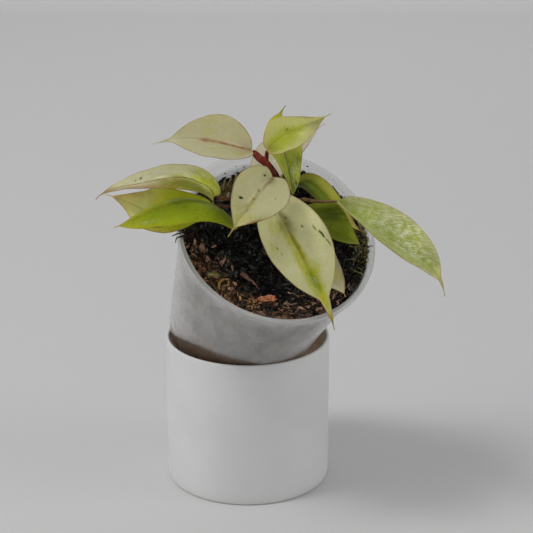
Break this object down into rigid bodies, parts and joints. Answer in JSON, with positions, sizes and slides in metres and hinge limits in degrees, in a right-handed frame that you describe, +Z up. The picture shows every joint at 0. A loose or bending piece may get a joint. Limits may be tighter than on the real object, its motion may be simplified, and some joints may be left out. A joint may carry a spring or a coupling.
{
  "type": "potted philodendron",
  "caption": "Young variegated philodendron in a clear growing pot that leans forward out of a plain straight white cover pot.",
  "frame": {"origin": "centre of the white cover pot's flat underside", "axes": "+Z up out of the standing pot, +Y from the side that the plant leans toward to its back, +X to the right as seen from that side"},
  "size_m": [0.1965, 0.155, 0.2484],
  "materials": {
    "white_pot": "matte",
    "clear_pot": "satin",
    "potting_mix": "matte",
    "bark_dark": "matte",
    "bark_brown": "matte",
    "stem": "satin",
    "leaf_cream": "satin",
    "leaf_pale": "satin",
    "leaf_lime": "satin",
    "leaf_green": "satin",
    "leaf_olive": "satin",
    "leaf_tan": "satin"
  },
  "bodies": {
    "root": {"outer_pot": "white_pot", "nursery_pot": "clear_pot", "potting_mix": "potting_mix", "bark_chunk_back": "bark_dark", "bark_chip_front": "bark_brown", "bark_chip_left": "bark_brown", "stem_centre": "stem", "stem_left": "stem", "stem_right": "stem", "leaf_upper_left": "leaf_cream", "leaf_centre_round": "leaf_cream", "leaf_front_large": "leaf_cream", "leaf_top_behind": "leaf_cream", "leaf_front_under": "leaf_tan", "leaf_left_tan": "leaf_tan", "leaf_right_long": "leaf_green", "leaf_left_green": "leaf_green", "leaf_right_olive": "leaf_olive", "leaf_right_dark": "leaf_olive", "leaf_top_lime": "leaf_lime", "leaf_top_upright": "leaf_lime", "leaf_left_pale": "leaf_pale"}
  },
  "joints": []
}
